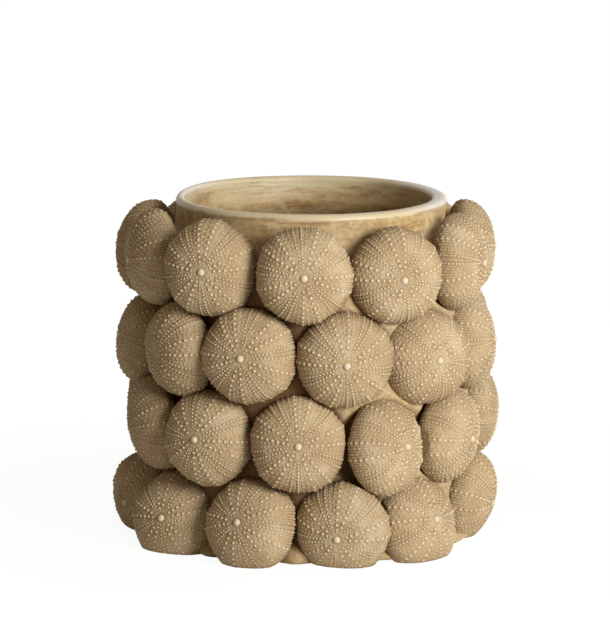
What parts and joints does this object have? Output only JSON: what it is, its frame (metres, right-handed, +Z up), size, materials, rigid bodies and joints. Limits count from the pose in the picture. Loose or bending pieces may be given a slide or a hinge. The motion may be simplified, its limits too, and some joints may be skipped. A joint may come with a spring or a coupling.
{
  "type": "cachepot",
  "caption": "Round open cachepot with a drawn-in collar and thick lip, its wall clad in rings of whole sea urchin shells.",
  "frame": {"origin": "centre of the flat underside, on the surface the pot stands on", "axes": "+Z up along the pot's axis, -Y towards the picture's viewer, +X to the viewer's right"},
  "size_m": [0.2557, 0.2535, 0.2216],
  "materials": {
    "pot_cast_tan": "cast body, smooth, satin tan wash over cream",
    "urchin_shell_tan": "matt tan wash with cream beads and dark creases"
  },
  "bodies": {
    "root": {"vessel": "pot_cast_tan", "urchin_bottom_01": "urchin_shell_tan", "urchin_bottom_02": "urchin_shell_tan", "urchin_bottom_03": "urchin_shell_tan", "urchin_bottom_04": "urchin_shell_tan", "urchin_bottom_05": "urchin_shell_tan", "urchin_bottom_06": "urchin_shell_tan", "urchin_bottom_07": "urchin_shell_tan", "urchin_bottom_08": "urchin_shell_tan", "urchin_bottom_09": "urchin_shell_tan", "urchin_bottom_10": "urchin_shell_tan", "urchin_bottom_11": "urchin_shell_tan", "urchin_lower_01": "urchin_shell_tan", "urchin_lower_02": "urchin_shell_tan", "urchin_lower_03": "urchin_shell_tan", "urchin_lower_04": "urchin_shell_tan", "urchin_lower_05": "urchin_shell_tan", "urchin_lower_06": "urchin_shell_tan", "urchin_lower_07": "urchin_shell_tan", "urchin_lower_08": "urchin_shell_tan", "urchin_lower_09": "urchin_shell_tan", "urchin_lower_10": "urchin_shell_tan", "urchin_lower_11": "urchin_shell_tan", "urchin_upper_01": "urchin_shell_tan", "urchin_upper_02": "urchin_shell_tan", "urchin_upper_03": "urchin_shell_tan", "urchin_upper_04": "urchin_shell_tan", "urchin_upper_05": "urchin_shell_tan", "urchin_upper_06": "urchin_shell_tan", "urchin_upper_07": "urchin_shell_tan", "urchin_upper_08": "urchin_shell_tan", "urchin_upper_09": "urchin_shell_tan", "urchin_upper_10": "urchin_shell_tan", "urchin_upper_11": "urchin_shell_tan", "urchin_top_01": "urchin_shell_tan", "urchin_top_02": "urchin_shell_tan", "urchin_top_03": "urchin_shell_tan", "urchin_top_04": "urchin_shell_tan", "urchin_top_05": "urchin_shell_tan", "urchin_top_06": "urchin_shell_tan", "urchin_top_07": "urchin_shell_tan", "urchin_top_08": "urchin_shell_tan", "urchin_top_09": "urchin_shell_tan", "urchin_top_10": "urchin_shell_tan", "urchin_top_11": "urchin_shell_tan"}
  },
  "joints": []
}
